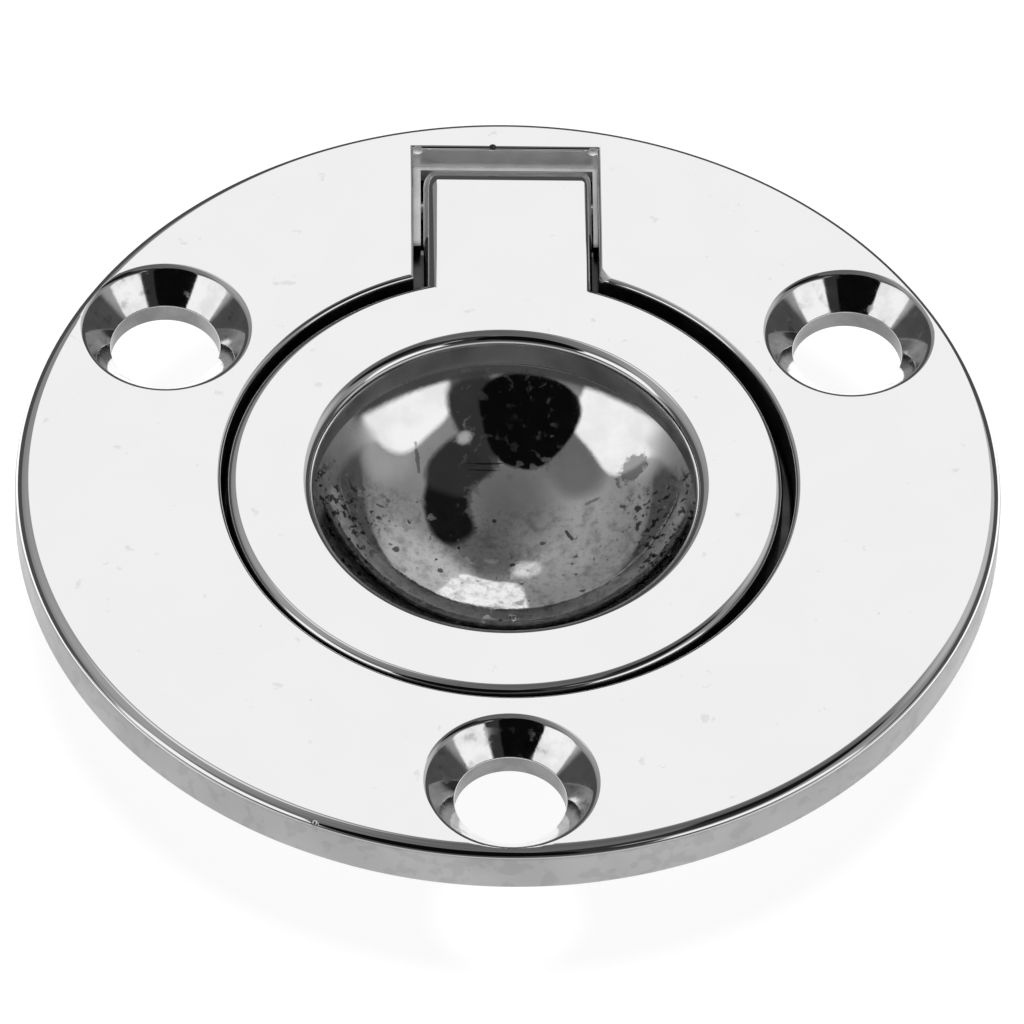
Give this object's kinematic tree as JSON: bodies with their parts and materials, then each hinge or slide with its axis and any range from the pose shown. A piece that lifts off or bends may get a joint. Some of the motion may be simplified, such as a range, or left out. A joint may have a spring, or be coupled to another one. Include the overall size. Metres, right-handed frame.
{
  "type": "recessed pull handle",
  "caption": "Round recessed pull: a countersunk face plate with a keyhole recess and finger dish, and a hinged ring that lies flush in it.",
  "frame": {"origin": "centre of the screw circle, on the mounting face at the back of the flange", "axes": "+Z out of the panel, through the face of the plate; +Y from the ring towards its hinge; +X to the right as seen in use with the hinge at the top"},
  "size_m": [0.057, 0.057, 0.0115],
  "materials": {
    "plate_metal": "polished plating on a casting, worn and pitted in the dish",
    "ring_metal": "polished plating on a casting",
    "pin_metal": "drawn steel wire"
  },
  "bodies": {
    "base": {"base_plate": "plate_metal", "hinge_pin": "pin_metal"},
    "ring": {"pull_ring": "ring_metal"}
  },
  "joints": [
    {"name": "ring_lift", "type": "hinge", "parent": "base", "child": "ring", "pos_m": [0.0001, 0.0231, 0.00025], "axis": [-1, 0, 0], "range_deg": [0, 95]}
  ]
}
